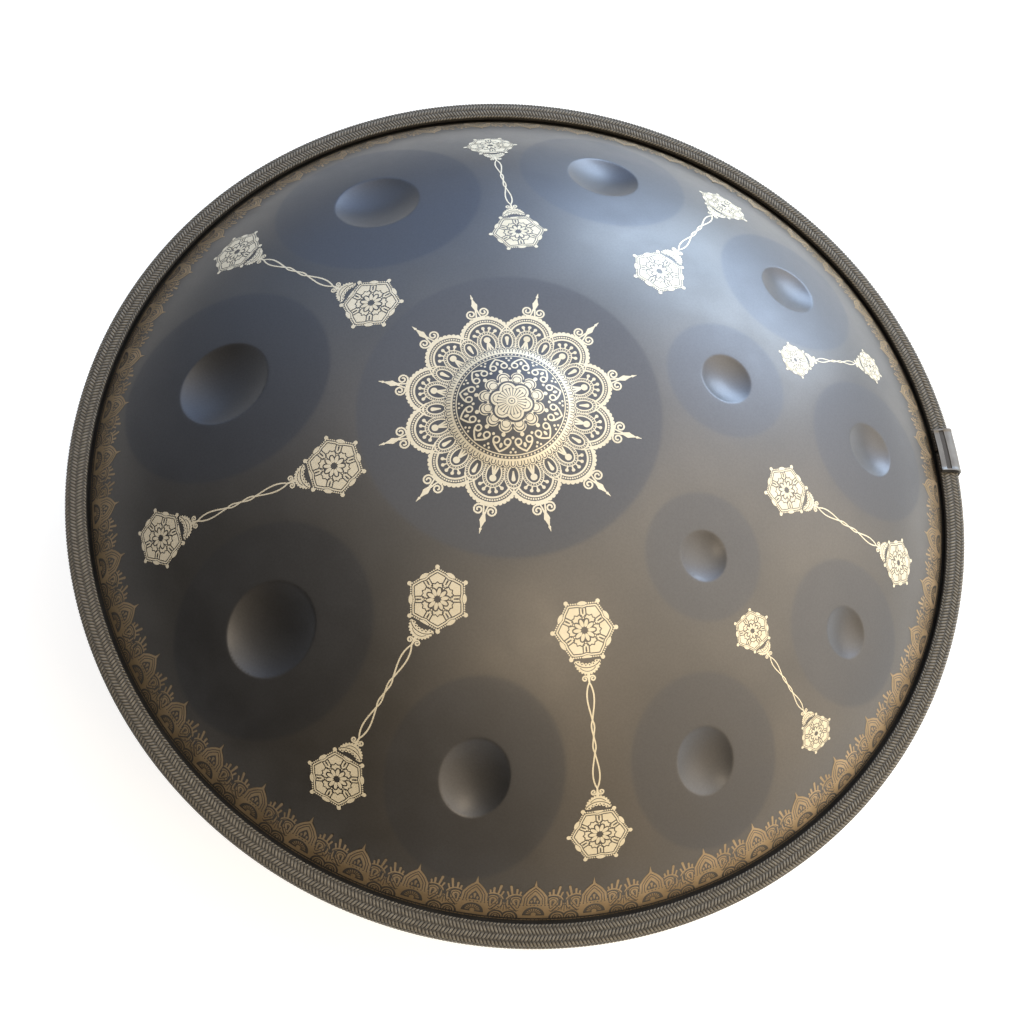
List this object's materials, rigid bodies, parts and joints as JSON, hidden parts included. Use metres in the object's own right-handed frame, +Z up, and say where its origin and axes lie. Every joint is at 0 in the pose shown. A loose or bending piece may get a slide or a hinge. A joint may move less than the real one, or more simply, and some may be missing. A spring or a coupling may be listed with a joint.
{
  "type": "handpan",
  "caption": "Steel hand percussion drum of two shallow domed shells joined at a rim wrapped in braided rope, with a raised centre dome, pressed-in dimples and a round sound port below.",
  "frame": {"origin": "on the vertical axis, level with the flat ring round the sound port, on the surface the pan stands on", "axes": "+Z up through the playing side, +X towards the two inner notes, -Y towards the player's side of the ding"},
  "size_m": [0.5596, 0.5596, 0.2437],
  "materials": {
    "nitrided_steel": "satin dark nitrided steel",
    "epoxy": "cured adhesive",
    "rubber": "black rubber",
    "rope": "taupe flat braid",
    "tape": "black cloth tape",
    "sleeve_metal": "satin grey metal"
  },
  "bodies": {
    "root": {"top_shell": "nitrided_steel", "bottom_shell": "nitrided_steel", "seam_bond": "epoxy", "edge_trim": "rubber", "rim_rope": "rope", "rope_binding_lower": "tape", "rope_binding_upper": "tape", "rope_sleeve": "sleeve_metal"}
  },
  "joints": []
}
